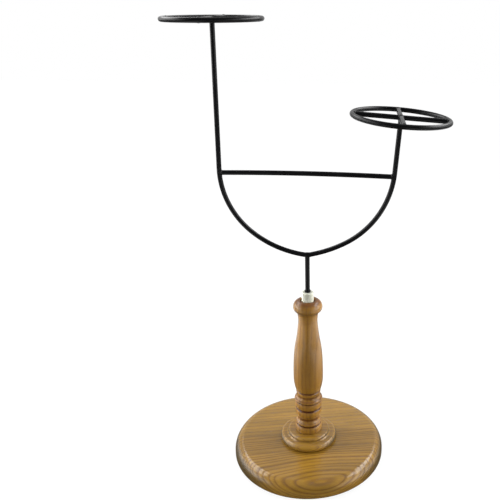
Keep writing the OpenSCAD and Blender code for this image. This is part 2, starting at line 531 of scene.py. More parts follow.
def srgb(red: int, green: int, blue: int) -> Colour:
    """Linear colour from its display values.

    Args:
        red: Red, from 0 to 255.
        green: Green, from 0 to 255.
        blue: Blue, from 0 to 255.

    Returns:
        The linear colour.
    """
    linear = []
    for level in (red, green, blue):
        share = level / 255
        linear.append(share / 12.92 if share <= 0.04045 else ((share + 0.055) / 1.055) ** 2.4)
    return tuple(linear)


def new_material(name: str) -> tuple[Material, Patch]:
    """A material with an empty node tree, and a patch on that tree."""
    material = bpy.data.materials.new(name)
    material.use_nodes = True
    return material, Patch(material.node_tree)


def finish_surface(patch: Patch, inputs: dict[str, Value]) -> None:
    """Ends a material in one Principled shader.

    Args:
        patch: The material's patch.
        inputs: What the shader's inputs get.
    """
    shader = patch.node("ShaderNodeBsdfPrincipled", inputs)
    patch.node("ShaderNodeOutputMaterial", {"Surface": shader.outputs[0]})


# ---------------------------------------------------------------- finishes


@dataclass(frozen=True)
class OakTones:
    """Colours of stained oak, from open pores to dense summer wood, and two tints that partly paint shade.
    """

    pore: Colour = srgb(84, 50, 12)
    spring: Colour = srgb(106, 66, 12)
    turn: Colour = srgb(133, 95, 24)
    summer: Colour = srgb(155, 117, 38)
    last: Colour = srgb(146, 108, 40)
    # End grain soaks more stain; this tint is also painted shade and a painted grey reflection on the foot's
    # far edges.
    end_grain_and_shade: Colour = srgb(96, 108, 112)
    # Tint for hollows: stain pooled in the grooves, and painted shade there too.
    stain_and_hollow_shade: Colour = srgb(150, 112, 70)

    def year(self) -> list[tuple[float, Colour]]:
        """The tones of one year's growth, from spring to spring."""
        stops = [(0.0, self.spring), (0.1, self.spring), (0.26, self.turn), (0.46, self.summer)]
        return [*stops, (0.9, self.last), (0.96, self.turn), (1.0, self.spring)]


@dataclass(frozen=True)
class Swell:
    """A local swelling of the growth layers, which a cut through them shows as ovals."""

    centre: Vector
    height: float
    length: float
    width: float


@dataclass(frozen=True)
class Streaks:
    """Noise drawn out along the grain: how far, how fine, and its finer layers."""

    stretch: float
    scale: float
    detail: float = 2.0
    roughness: float = 0.5


@dataclass(frozen=True)
class LogPlace:
    """Distances from the pith in millimetres: along the grain, across it and up."""

    patch: Patch
    along: Socket
    across: Socket
    up: Socket

    def drawn(self, stretch: float) -> Socket:
        """The place with its run along the grain shrunk, so that a pattern on it draws out."""
        return self.patch.join(self.patch.times(self.along, stretch), self.across, self.up)

    def streaks(self, kind: Streaks) -> Socket:
        """A kind of streaks at this place, from 0 to 1."""
        return self.patch.noise(self.drawn(kind.stretch), kind.scale, kind.detail, kind.roughness)


@dataclass(frozen=True)
class OakCut:
    """A varnished piece of oak, and how it lay in the log.

    The growth layers are tubes about the pith, a line along the grain. All sizes are in
    millimetres.
    """

    name: str
    grain: Vector
    pith: Vector
    spacing: float = 3.7
    wander: float = 1.6
    wander_length: float = 110.0
    wander_stretch: float = 0.28
    unevenness: float = 2.4
    uneven_years: float = 3.1
    tones: OakTones = OakTones()
    figure: float = 1.0
    tint: Colour = (1.0, 1.0, 1.0)
    # Tone by distance from the pith: full colour up to the start, the given tone from the end on.
    pith_distance_tone: tuple[float, float, float] = (0.0, 1.0, 1.0)
    swell: Swell | None = None
    spring_fade: Span = (0.08, 0.34)
    fibres: Streaks = Streaks(0.035, 1.9, 4.0, 0.62)
    fibre_shade: Shading = (0.28, 0.72, 0.82, 1.14)
    clouds: Streaks = Streaks(0.14, 0.09, 3.0)
    cloud_shade: Shading = (0.3, 0.7, 0.84, 1.14)
    vessels: Streaks = Streaks(0.06, 1.9)
    vessel_width: float = 0.14
    vessel_swell: float = 0.24
    vessel_edge: Span = (-0.03, 0.09)
    vessel_share: float = 0.4
    end_share: float = 0.85
    end_facing: Span = (0.4, 0.9)
    end_soaks: float = 0.7
    varnish: float = 0.9
    thin_varnish: float = 0.15
    roughness: float = 0.24
    spring_roughness: float = 0.12
    fibre_roughness: float = 0.16
    fibre_height: float = 0.08
    spring_depth: float = 0.5
    vessel_depth: float = 0.35
    relief_strength: float = 0.8
    relief: float = 0.25

    def material(self) -> Material:
        """The node material of this piece.

        Returns:
            The varnished oak.
        """
        material, patch = new_material(self.name)
        given = patch.node("ShaderNodeTexCoord")
        place_in_log = self._place(patch, given.outputs["Object"])

        layer = self._layer(place_in_log)
        count = patch.math("DIVIDE", layer, self.spacing)
        phase = patch.math("FRACT", count)
        spring = patch.slope(phase, *self.spring_fade, 1.0, 0.0)
        fibre = place_in_log.streaks(self.fibres)
        pores = self._pores(place_in_log, spring)

        colour = self._colour(place_in_log, count, phase, fibre, layer)
        colour = patch.mix(patch.times(pores, self.vessel_share), colour, self.tones.pore)
        # Faces along the grain get a darker, greyer tint: end grain, plus painted edge shade and reflection.
        facing = patch.math("ABSOLUTE", patch.dot(given.outputs["Normal"], tuple(self.grain.normalized())))
        end = patch.slope(facing, *self.end_facing)
        colour = patch.tinted(colour, self.tones.end_grain_and_shade, patch.times(end, self.end_share))
        # Hollows are darkened by their depth: partly stain pooled there, partly painted shade.
        groove = patch.node("ShaderNodeAttribute", attribute_name="groove").outputs["Fac"]
        colour = patch.tinted(colour, self.tones.stain_and_hollow_shade, groove)

        thin = patch.math("MAXIMUM", groove, patch.times(end, self.end_soaks))
        rough = patch.times(spring, self.spring_roughness)
        rough = patch.plus(rough, patch.times(fibre, self.fibre_roughness))
        height = patch.minus(patch.times(fibre, self.fibre_height), patch.times(spring, self.spring_depth))
        height = patch.scaled(pores, -self.vessel_depth, height)
        bump = patch.bump(height, self.relief_strength, self.relief)
        finish_surface(patch, {
            "Base Color": colour,
            "Roughness": patch.plus(rough, self.roughness),
            "Normal": bump,
            "Coat Weight": patch.between(thin, self.varnish, self.thin_varnish),
            "Specular IOR Level": 0.3,
            "Coat Roughness": 0.1,
            "Coat Normal": bump,
        })
        return material

    def _sideways(self) -> Vector:
        """The direction across the grain: level, unless the grain stands upright.

        Returns:
            The direction, of length 1.
        """
        grain = self.grain.normalized()
        if abs(grain.z) > 0.9:
            return grain.orthogonal().normalized()
        return grain.cross((0, 0, 1)).normalized()

    def _place(self, patch: Patch, spot: Socket) -> LogPlace:
        """Turns a place on the piece into a place in the log.

        Args:
            patch: The material's patch.
            spot: Place on the piece, in metres.

        Returns:
            The place in the log.
        """
        millimetres = patch.vector("MULTIPLY", spot, (1 / MM, 1 / MM, 1 / MM))
        from_pith = patch.vector("SUBTRACT", millimetres, tuple(self.pith))
        grain, across = self.grain.normalized(), self._sideways()
        ways = (grain, across, grain.cross(across))
        return LogPlace(patch, *(patch.dot(from_pith, tuple(way)) for way in ways))

    def _layer(self, place_in_log: LogPlace) -> Socket:
        """Distance from the pith, with the wander of a grown tree in it.

        Args:
            place_in_log: The place in the log.

        Returns:
            The distance, in millimetres.
        """
        patch, across, up = place_in_log.patch, place_in_log.across, place_in_log.up
        layer = patch.math("SQRT", patch.plus(patch.times(across, across), patch.times(up, up)))
        slow = Streaks(self.wander_stretch, 1 / (self.wander_stretch * self.wander_length))
        drift = patch.minus(place_in_log.streaks(slow), 0.5)
        layer = patch.scaled(drift, 4 * self.wander, layer)
        if self.swell:
            layer = patch.scaled(self._hill(place_in_log), -self.swell.height, layer)
        uneven = patch.minus(patch.line_noise(layer, 1 / (self.uneven_years * self.spacing)), 0.5)
        return patch.scaled(uneven, 2 * self.unevenness, layer)

    def _hill(self, place_in_log: LogPlace) -> Socket:
        """How much a point lies in the local swelling.

        Args:
            place_in_log: The place in the log.

        Returns:
            A number from 0, far from it, to 1, at its centre.
        """
        patch = place_in_log.patch
        centre = self.swell.centre - self.pith
        run = patch.minus(place_in_log.along, centre.dot(self.grain.normalized()))
        run = patch.math("DIVIDE", run, self.swell.length)
        side = patch.minus(place_in_log.across, centre.dot(self._sideways()))
        side = patch.math("DIVIDE", side, self.swell.width)
        spread = patch.plus(patch.times(run, run), patch.times(side, side))
        return patch.math("EXPONENT", patch.times(spread, -0.5))

    def _pores(self, place_in_log: LogPlace, spring: Value) -> Socket:
        """Open vessels: fine dashes along the grain, close together in the spring wood.

        Args:
            place_in_log: The place in the log.
            spring: How much a point lies in spring wood.

        Returns:
            How much a point lies in a vessel, from 0 to 1.
        """
        patch = place_in_log.patch
        inputs = {"Vector": place_in_log.drawn(self.vessels.stretch), "Scale": self.vessels.scale}
        cells = patch.node("ShaderNodeTexVoronoi", inputs)
        width = patch.scaled(spring, self.vessel_swell, self.vessel_width)
        return patch.slope(patch.minus(width, cells.outputs["Distance"]), *self.vessel_edge)

    def _colour(self, place_in_log: LogPlace, count: Value, phase: Value, fibre: Value,
                layer: Value) -> Socket:
        """Colour of the wood between its pores.

        Args:
            place_in_log: The place in the log.
            count: Years of growth from the pith.
            phase: Place in a year's growth, from 0 to 1.
            fibre: Fine noise along the grain.
            layer: Distance from the pith.

        Returns:
            The colour.
        """
        patch = place_in_log.patch
        number = patch.math("FLOOR", count)
        year = patch.node("ShaderNodeTexWhiteNoise", {"W": number}, noise_dimensions="1D")
        dense = patch.mix(0.5, self.tones.turn, self.tones.summer)
        fade = patch.scaled(year.outputs["Value"], 0.5 * self.figure, 1 - self.figure)
        colour = patch.mix(fade, patch.ramp(phase, self.tones.year()), dense)
        shade = patch.slope(fibre, *self.fibre_shade, smooth=False)
        shade = patch.times(shade, patch.slope(place_in_log.streaks(self.clouds), *self.cloud_shade))
        # Darker farther from the pith; on the front board this is the strip beside the glue line.
        start, end, tone = self.pith_distance_tone
        shade = patch.times(shade, patch.slope(layer, start, end, 1.0, tone))
        colour = patch.mix(1.0, colour, patch.join(shade, shade, shade), "MULTIPLY")
        return patch.mix(1.0, colour, self.tint, "MULTIPLY")


@dataclass(frozen=True)
class Skin:
    """A smooth finish of two tones in soft clouds, with a fine relief.

    Scales are per metre, and the relief's depth is in millimetres.
    """

    name: str
    colour: Colour
    second: Colour
    cloud_scale: float
    span: Span
    roughness: float
    unevenness: float
    relief_scale: float
    relief_strength: float
    relief_depth: float = 0.05
    relief_detail: tuple[float, float] = (2.0, 0.5)
    soft: bool = True
    gloss: dict[str, Value] = field(default_factory=dict)

    def material(self) -> Material:
        """The node material of this finish.

        Returns:
            The material.
        """
        material, patch = new_material(self.name)
        cloud = patch.noise(patch.spot(), self.cloud_scale, 3.0)
        share = patch.slope(cloud, *self.span, smooth=self.soft)
        relief = patch.noise(patch.spot(), self.relief_scale, *self.relief_detail)
        finish_surface(patch, {
            "Base Color": patch.mix(share, self.colour, self.second),
            "Roughness": patch.scaled(cloud, self.unevenness, self.roughness),
            "Normal": patch.bump(relief, self.relief_strength, self.relief_depth),
            **self.gloss,
        })
        return material


BLACK_ENAMEL = Skin(
    "black_enamel", srgb(5, 5, 7), srgb(14, 14, 16), cloud_scale=55.0, span=(0.42, 0.8),
    roughness=0.2, unevenness=0.12, relief_scale=900.0, relief_strength=0.35,
    relief_depth=0.08, relief_detail=(2.0, 0.4), gloss={"Specular IOR Level": 0.25},
)
MILKY_PLASTIC = Skin(
    "milky_plastic", srgb(205, 206, 192), srgb(190, 190, 174), cloud_scale=160.0, span=(0.35, 0.7),
    roughness=0.28, unevenness=0.15, relief_scale=2600.0, relief_strength=0.2,
    gloss={"Subsurface Weight": 0.25, "Subsurface Radius": (1.0, 0.95, 0.85), "Subsurface Scale": 2.5 * MM},
)
ZINC_PLATE = Skin(
    "zinc_plate", srgb(190, 192, 196), srgb(150, 152, 150), cloud_scale=700.0, span=(0.0, 1.0),
    roughness=0.22, unevenness=0.25, relief_scale=700.0, relief_strength=0.25,
    relief_detail=(3.0, 0.5), soft=False, gloss={"Metallic": 1.0},
)


@dataclass(frozen=True)
class WoolFelt:
    """Dense felt with short matted fibres."""

    name: str = "green_felt"
    colour: Colour = srgb(56, 68, 52)
    light: Colour = srgb(84, 96, 76)

    def material(self) -> Material:
        """The node material of the felt.

        Returns:
            The material.
        """
        material, patch = new_material(self.name)
        mat = patch.noise(patch.spot(), 1400.0, 5.0, 0.7)
        tufts = patch.noise(patch.spot(), 220.0, 3.0)
        colour = patch.mix(patch.slope(mat, 0.3, 0.7), self.colour, self.light)
        finish_surface(patch, {
            "Base Color": patch.mix(patch.times(tufts, 0.4), colour, self.colour),
            "Roughness": 0.95,
            "Sheen Weight": 0.3,
            "Normal": patch.bump(patch.plus(mat, tufts), 0.8, 0.4),
        })
        return material


# ---------------------------------------------------------------- geometry nodes


def new_tree(name: str, sockets: dict[str, str]) -> tuple[Tree, Patch, bpy.types.Node]:
    """A Geometry Nodes tree with its inputs and one geometry output.

    Args:
        name: Name of the tree.
        sockets: Socket type of each input after the geometry, by name.

    Returns:
        The tree, a patch on it and its input node.
    """
    tree = bpy.data.node_groups.new(name, "GeometryNodeTree")
    tree.interface.new_socket("Geometry", in_out="INPUT", socket_type="NodeSocketGeometry")
    for label, kind in sockets.items():
        tree.interface.new_socket(label, in_out="INPUT", socket_type=kind)
    tree.interface.new_socket("Geometry", in_out="OUTPUT", socket_type="NodeSocketGeometry")
    patch = Patch(tree)
    return tree, patch, patch.node("NodeGroupInput")


def end_tree(patch: Patch, geometry: Value, finish: Value) -> None:
    """Ends a Geometry Nodes tree in real, smooth geometry with one material.

    Args:
        patch: The tree's patch.
        geometry: The geometry so far.
        finish: The material's socket.
    """
    real = patch.node("GeometryNodeRealizeInstances", {0: geometry}).outputs[0]
    smooth = patch.node("GeometryNodeSetShadeSmooth", {0: real}).outputs[0]
    dressed = patch.node("GeometryNodeSetMaterial", {"Geometry": smooth, "Material": finish}).outputs[0]
    patch.node("NodeGroupOutput", {0: dressed})


def bake(source: Mesh, tree: Tree, name: str, settings: dict[str, object]) -> Mesh:
    """Runs a Geometry Nodes tree on a mesh.

    Args:
        source: The mesh that the tree starts from.
        tree: The tree.
        name: Name of the result.
        settings: What the tree's inputs get, by name.

    Returns:
        The result, as a plain mesh.
    """
    guide = bpy.data.objects.new(f"{name}_guide", source)
    link(guide)
    modifier = guide.modifiers.new("build", "NODES")
    modifier.node_group = tree
    for item in tree.interface.items_tree:
        if item.in_out == "INPUT" and item.name in settings:
            modifier[item.identifier] = settings[item.name]
    graph = bpy.context.evaluated_depsgraph_get()
    mesh = bpy.data.meshes.new_from_object(guide.evaluated_get(graph), depsgraph=graph)
    mesh.name = name
    guide.modifiers.remove(modifier)
    bpy.data.objects.remove(guide)
    return mesh


@dataclass
class WireBender:
    """Sweeps a round wire along a route of points."""

    radius: float
    sides: int = 28
    chamfer: float = 0.7
    tree: Tree = field(init=False)

    def __post_init__(self) -> None:
        """Builds the sweeping tree."""
        self.tree, patch, given = new_tree("bent_wire", {
            "Wire radius": "NodeSocketFloat",
            "Sides": "NodeSocketInt",
            "Finish": "NodeSocketMaterial",
        })
        curve = patch.node("GeometryNodeMeshToCurve", {0: given.outputs["Geometry"]}).outputs[0]
        thickness = {"Curve": curve, "Radius": patch.stored("girth", "FLOAT")}
        curve = patch.node("GeometryNodeSetCurveRadius", thickness).outputs[0]
        section = patch.node("GeometryNodeCurvePrimitiveCircle", {
            "Resolution": given.outputs["Sides"],
            "Radius": given.outputs["Wire radius"],
        })
        swept = patch.node("GeometryNodeCurveToMesh", {
            "Curve": curve,
            "Profile Curve": section.outputs[0],
            "Fill Caps": True,
        })
        end_tree(patch, swept.outputs[0], given.outputs["Finish"])

    def bend(self, name: str, route: list[Vector], finish: Material,
             closed: bool = False) -> Mesh:
        """Makes one wire.

        Args:
            name: Name of its mesh.
            route: Points of its centre line, in millimetres.
            finish: Its material.
            closed: Whether the route is a loop.

        Returns:
            The wire's mesh, with eased ends unless it is a loop.
        """
        points = list(route)
        girths = [1.0] * len(points)
        if not closed:
            points, girths = self._eased_ends(points)
        edges = [(index, index + 1) for index in range(len(points) - 1)]
        if closed:
            edges.append((len(points) - 1, 0))
        guide = bpy.data.meshes.new(f"{name}_route")
        guide.from_pydata([point * MM for point in points], edges, [])
        layer = guide.attributes.new("girth", "FLOAT", "POINT")
        layer.data.foreach_set("value", girths)
        settings = {"Wire radius": self.radius * MM, "Sides": self.sides, "Finish": finish}
        return bake(guide, self.tree, name, settings)

    def _eased_ends(self, points: list[Vector]) -> tuple[list[Vector], list[float]]:
        """Adds a small chamfer to both ends of a route.

        Args:
            points: The route.

        Returns:
            The longer route and the wire's relative thickness at each of its points.
        """
        start, end = points[0], points[-1]
        in_start = (points[1] - start).normalized() * self.chamfer
        in_end = (points[-2] - end).normalized() * self.chamfer
        route = [start, start + in_start, *points[1:-1], end + in_end, end]
        narrow = 1 - self.chamfer / self.radius
        return route, [narrow, *[1.0] * (len(route) - 2), narrow]


class Bead(Enum):
    """Kinds of weld bead, as radius and half length in wire radii."""

    RIM = (1.16, 0.62)
    HUB = (1.12, 0.55)
    CROSSBAR = (1.2, 0.6)
    ARM_TOP = (1.18, 0.6)
    FORK = (1.1, 2.4)


@dataclass(frozen=True)
class Weld:
    """One weld bead: its kind, where it is, and the way the joined wire comes in."""

    kind: Bead
    spot: Vector
    toward: Vector

    def size(self, wire_r: float) -> Vector:
        """Half sizes of the bead on a wire of a radius."""
        width, depth = self.kind.value
        return Vector((width * wire_r, width * wire_r, depth * wire_r))


@dataclass
class Welder:
    """Puts lumpy weld beads where wires meet."""

    wire_r: float
    lump: float = 0.35
    lump_scale: float = 0.42
    seed: float = 3.0
    tree: Tree = field(init=False)

    def __post_init__(self) -> None:
        """Builds the tree that sets a bead on each point."""
        self.tree, patch, given = new_tree("weld_beads", {
            "Lump": "NodeSocketFloat",
            "Lump scale": "NodeSocketFloat",
            "Seed": "NodeSocketFloat",
            "Finish": "NodeSocketMaterial",
        })
        bead = patch.node("GeometryNodeMeshIcoSphere", {"Radius": 1.0, "Subdivisions": 4}).outputs[0]
        toward = {"Vector": patch.stored("toward", "FLOAT_VECTOR")}
        aligned = patch.node("FunctionNodeAlignRotationToVector", toward, axis="Z")
        beads = patch.node("GeometryNodeInstanceOnPoints", {
            "Points": given.outputs["Geometry"],
            "Instance": bead,
            "Rotation": aligned.outputs[0],
            "Scale": patch.stored("size", "FLOAT_VECTOR"),
        })
        real = patch.node("GeometryNodeRealizeInstances", {0: beads.outputs[0]}).outputs[0]
        noise = patch.node("ShaderNodeTexNoise", {
            "Vector": patch.node("GeometryNodeInputPosition").outputs[0],
            "W": given.outputs["Seed"],
            "Scale": given.outputs["Lump scale"],
            "Detail": 1.0,
        }, noise_dimensions="4D")
        amount = patch.times(patch.minus(noise.outputs["Fac"], 0.5), given.outputs["Lump"])
        normal = patch.node("GeometryNodeInputNormal").outputs[0]
        push = patch.node("ShaderNodeVectorMath", {0: normal, 3: amount}, operation="SCALE").outputs[0]
        lumpy = patch.node("GeometryNodeSetPosition", {"Geometry": real, "Offset": push}).outputs[0]
        end_tree(patch, lumpy, given.outputs["Finish"])

    def weld(self, name: str, welds: list[Weld], finish: Material) -> Mesh:
        """Makes the beads of one set of joints.

        Args:
            name: Name of the mesh.
            welds: The beads.
            finish: Their material.

        Returns:
            One mesh of all the beads.
        """
        guide = bpy.data.meshes.new(f"{name}_points")
        guide.from_pydata([weld.spot * MM for weld in welds], [], [])
        toward = guide.attributes.new("toward", "FLOAT_VECTOR", "POINT")
        size = guide.attributes.new("size", "FLOAT_VECTOR", "POINT")
        for index, weld in enumerate(welds):
            toward.data[index].vector = weld.toward
            size.data[index].vector = weld.size(self.wire_r) * MM
        settings = {
            "Lump": self.lump * MM,
            "Lump scale": self.lump_scale / MM,
            "Seed": self.seed,
            "Finish": finish,
        }
        return bake(guide, self.tree, name, settings)


# ---------------------------------------------------------------- the wooden part


@dataclass
class TurnedFoot:
    """The round foot, glued up from two boards; the felt disc under it is the imported node."""

    radius: float
    top: float
    underside: float
    top_round: float = 12.5
    bottom_round: float = 4.0
    glue_offset: float = 7.0
    glue_angle: float = 12.5
    socket_r: float = 8.0
    socket_depth: float = 10.0
    counterbore_r: float = 8.5
    counterbore_top: float = 6.5
    hole_r: float = 2.8
    sides: int = 256

    def profile(self) -> Profile:
        """Closed outline of the foot, with its socket and its holes.

        Returns:
            Radius and height of each point.
        """
        low = (self.radius - self.bottom_round, self.underside + self.bottom_round)
        high = (self.radius - self.top_round, self.top - self.top_round)
        rim = arc(low, self.bottom_round, -90, 0, 10) + arc(high, self.top_round, 0, 90, 28)
        steps = [self.socket_r + (high[0] - self.socket_r) * share for share in (0.8, 0.6, 0.4, 0.2)]
        flat = [(radius, self.top) for radius in steps]
        under = [(self.counterbore_r, self.underside)]
        floor = self.top - self.socket_depth
        inner = [(self.socket_r, self.top), (self.socket_r, floor), (self.hole_r, floor)]
        inner += [(self.hole_r, self.counterbore_top), (self.counterbore_r, self.counterbore_top)]
        return rim + flat + inner + under

    def board(self, side: Side) -> Mesh:
        """One of the two boards of the foot.

        Args:
            side: The side of the glue line that it is on.

        Returns:
            The board's mesh.
        """
        form = turned(self.profile(), self.sides)
        bmesh.ops.recalc_face_normals(form, faces=form.faces)
        angle = math.radians(self.glue_angle)
        normal = Vector((-math.sin(angle), math.cos(angle), 0))
        cut = bmesh.ops.bisect_plane(
            form,
            geom=[*form.verts, *form.edges, *form.faces],
            dist=0.001 * MM,
            plane_co=normal * self.glue_offset * MM,
            plane_no=normal * side.value,
            clear_inner=True,
        )
        rim = [part for part in cut["geom_cut"] if isinstance(part, bmesh.types.BMEdge)]
        bmesh.ops.edgenet_fill(form, edges=rim)
        return tidy_mesh(form, f"{side.name.lower()}_board")

    def build(self, oaks: dict[Side, OakCut]) -> None:
        """Makes and dresses both boards.

        Args:
            oaks: The finish of each board.
        """
        for side, node in ((Side.FRONT, "foot_front_board"), (Side.BACK, "foot_back_board")):
            mesh = self.board(side)
            dress(mesh, oaks[side].material())
            place(mesh, f"oak_{side.name.lower()}_board", Body.FOOT, node)


@dataclass
class StepRing:
    """The turned ring of two steps that the post stands on."""

    lower_r: float
    foot_top: float
    height: float
    lower_t: float = 8.4
    upper_r: float = 27.7
    bore_r: float = 8.0
    cove_sag: float = 0.3
    edge_r: float = 2.1
    easing: float = 0.6
    sides: int = 192

    def profile(self) -> Profile:
        """Closed outline of the ring.

        Returns:
            Radius and height of each point.
        """
        half = self.lower_t / 2
        nose = arc((self.lower_r - half, half), half, -72, 90, 20)
        shelf, foot = (self.upper_r + 2.6, self.lower_t), (self.upper_r - 0.6, self.lower_t + 1)
        cove = bulge(shelf, foot, -self.cove_sag, 6)
        edge = arc((self.upper_r - self.edge_r, self.height - self.edge_r), self.edge_r, -50, 90, 14)
        bore = [(self.bore_r, self.height), (self.bore_r, 0.0)]
        outline = [(radius, max(level, 0.0)) for radius, level in nose + cove + edge + bore]
        return raised(eased(outline, self.easing), self.foot_top)

    def build(self, oak: OakCut) -> None:
        """Makes the ring and dresses it in an oak."""
        finish = oak.material()
        place_turned(self.profile(), self.sides, finish, "oak_step_ring", Body.FOOT, "step_ring")


@dataclass
class TurnedPost:
    """The turned post: beads and coves, a vase-shaped grip, a neck and a knob."""

    step_top: float
    knob_top: float
    vase_r: float
    bush_r: float
    bush_foot: float
    stem_foot: float
    knob_r: float = 18.9
    neck_r: float = 12.5
    knob_rise: float = 9.3
    knob_under: float = 6.6
    recess_r: float = 9.8
    recess_depth: float = 4.0
    recess_taper: float = 0.8
    tenon_r: float = 7.95
    tenon_foot: float = 12.0
    pilot_r: float = 2.2
    pilot_top: float = 52.5
    stem_hole_r: float = 3.5
    gap: float = 0.05
    stem_clearance: float = 2.0
    bead_inset: float = 2.1
    sides: int = 144

    def beads(self) -> Profile:
        """Outline of the beads and coves at the post's foot, up from the step ring.

        Returns:
            Radius and height of each point.
        """
        r = self.vase_r - self.bead_inset
        return [
            *bulge((r - 0.6, 0), (r - 0.6, 9.8), 1.1),
            (r - 1.9, 10.3), (r - 1.9, 11.4),
            *bulge((r - 0.9, 11.8), (r - 0.9, 14.6), 0.5, 6),
            *bulge((r - 1.2, 14.9), (r - 0.9, 25.6), -2.2, 14),
            *bulge((r - 0.2, 26.0), (r - 0.1, 33.6), 0.5),
            (r - 1.5, 34.5), (r - 1.5, 35.8),
            *bulge((r, 36.7), (r + 0.2, 45.5), 0.8),
            (r - 0.7, 45.9), (r - 0.7, 46.6),
            *bulge((r + 0.8, 47.0), (r + 0.5, 49.0), 0.5, 6),
            *bulge((r + 0.3, 49.3), (r - 2.3, 53.6), -0.6, 8),
            (r - 2.3, 55.2), (r - 1.5, 56.0), (r - 1.1, 59.6),
            (r - 2.3, 60.5), (r - 2.3, 61.4), (r - 1.3, 62.1),
        ]

    def vase(self) -> Profile:
        """Outline of the vase and the neck, up from the step ring.

        Returns:
            Radius and height of each point.
        """
        vase, neck = self.vase_r, self.neck_r
        waist = (vase + neck) / 2
        return spline([
            (vase - 4.2, 58.8), (vase - 2.7, 62.8), (vase - 1.1, 69), (vase - 0.2, 76), (vase, 84),
            (vase - 0.1, 95), (vase - 0.75, 111), (vase - 2.2, 125), (waist - 0.8, 137),
            (neck + 1.1, 149), (neck, 161), (neck + 0.4, 168.5), (neck + 1.3, 173.8),
            (neck + 2.6, 178),
        ])

    def knob(self) -> Profile:
        """Outline of the knob."""
        level = self.knob_top - self.knob_rise
        under = arc((self.knob_r - self.knob_under, level), self.knob_under, -66, 0, 16)
        return under + arc((self.knob_r - self.knob_rise, level), self.knob_rise, 6, 84, 20)

    def bores(self) -> Profile:
        """Outline of the bush's recess and bore and of the stem's hole, from the top down.

        Returns:
            Radius and height of each point.
        """
        bore = self.bush_r + self.gap
        floor = self.bush_foot - 2 * self.gap
        end = self.stem_foot - self.stem_clearance
        return [
            (self.recess_r, self.knob_top),
            (self.recess_r - self.recess_taper, self.knob_top - self.recess_depth),
            (bore, self.knob_top - self.recess_depth),
            (bore, floor), (self.stem_hole_r, floor),
            (self.stem_hole_r, end), (0, end),
        ]

    def profile(self) -> Profile:
        """Closed outline of the whole post.

        Returns:
            Radius and height of each point.
        """
        pilot = [(0, self.pilot_top), (self.pilot_r, self.pilot_top), (self.pilot_r, self.tenon_foot)]
        tenon = [(self.tenon_r, self.tenon_foot), (self.tenon_r, self.step_top)]
        shaft = raised(self.beads() + self.vase(), self.step_top)
        return eased(pilot + tenon + shaft + self.knob() + self.bores())

    def build(self, oak: OakCut) -> None:
        """Makes the post and dresses it in an oak."""
        place_turned(self.profile(), self.sides, oak.material(), "oak_post", Body.FOOT, "post")


@dataclass
class SocketBush:
    """The white plastic sleeve in the knob that holds the stem."""

    radius: float
    foot: float
    top: float
    bore_r: float = 3.05
    rounding: float = 1.6
    lead_in: float = 0.6
    sides: int = 96

    def build(self, plastic: Skin) -> None:
        """Makes and dresses the bush.

        Args:
            plastic: Its finish.
        """
        shoulder = arc((self.radius - self.rounding, self.top - self.rounding), self.rounding, 0, 90, 12)
        lip = [(self.bore_r + self.lead_in, self.top), (self.bore_r, self.top - self.lead_in)]
        profile = eased([(self.bore_r, self.foot), (self.radius, self.foot), *shoulder, *lip])
        finish = plastic.material()
        place_turned(profile, self.sides, finish, "plastic_bush", Body.BUSH, "socket_bush")


# ---------------------------------------------------------------- the wire frame


@dataclass(frozen=True)
class WireRing:
    """One of the two rings with its spokes, and where it sits."""

    tier: str
    centre: Vector
    radius: float
    lean: float = 0.0
    turn: float = 0.0
    steps: int = 144
    rim_inset: float = 0.9
    hub_inset: float = 0.85

    def frame(self) -> Matrix:
        """The ring's own frame, from which its route is placed."""
        tilt = Euler((0, math.radians(self.lean), 0)).to_matrix().to_4x4()
        spin = Euler((0, 0, math.radians(self.turn))).to_matrix().to_4x4()
        return Matrix.Translation(self.centre) @ tilt @ spin

    def rim(self) -> list[Vector]:
        """Route of the ring.

        Returns:
            Points of its centre line.
        """
        place_it = self.frame()
        route = []
        for step in range(self.steps):
            angle = math.tau * step / self.steps
            route.append(place_it @ (Vector((math.cos(angle), math.sin(angle), 0)) * self.radius))
        return route

    def spokes(self, wire_r: float) -> dict[str, list[Vector]]:
        """Routes of the spokes.

        Args:
            wire_r: Radius of the wire.

        Returns:
            A route for each spoke, by its node's name.
        """
        place_it = self.frame()
        grip = wire_r / 2
        reach = self.radius
        ends = {
            "spoke": ((-reach, 0, 0), (reach, 0, 0)),
            "half_spoke_front": ((0, -grip, 0), (0, -reach, 0)),
            "half_spoke_back": ((0, grip, 0), (0, reach, 0)),
        }
        return {
            f"{self.tier}_{part}": [place_it @ Vector(start), place_it @ Vector(end)]
            for part, (start, end) in ends.items()
        }

    def welds(self, wire_r: float) -> list[Weld]:
        """Beads where the spokes meet the ring and each other.

        Args:
            wire_r: Radius of the wire.

        Returns:
            The beads.
        """
        place_it = self.frame()
        beads = []
        for quarter in range(4):
            angle = math.radians(90 * quarter)
            way = Vector((math.cos(angle), math.sin(angle), 0))
            toward = place_it.to_3x3() @ way
            at_rim = place_it @ (way * (self.radius - self.rim_inset * wire_r))
            beads.append(Weld(Bead.RIM, at_rim, toward))
            if way.y:
                beads.append(Weld(Bead.HUB, place_it @ (way * self.hub_inset * wire_r), toward))
        return beads


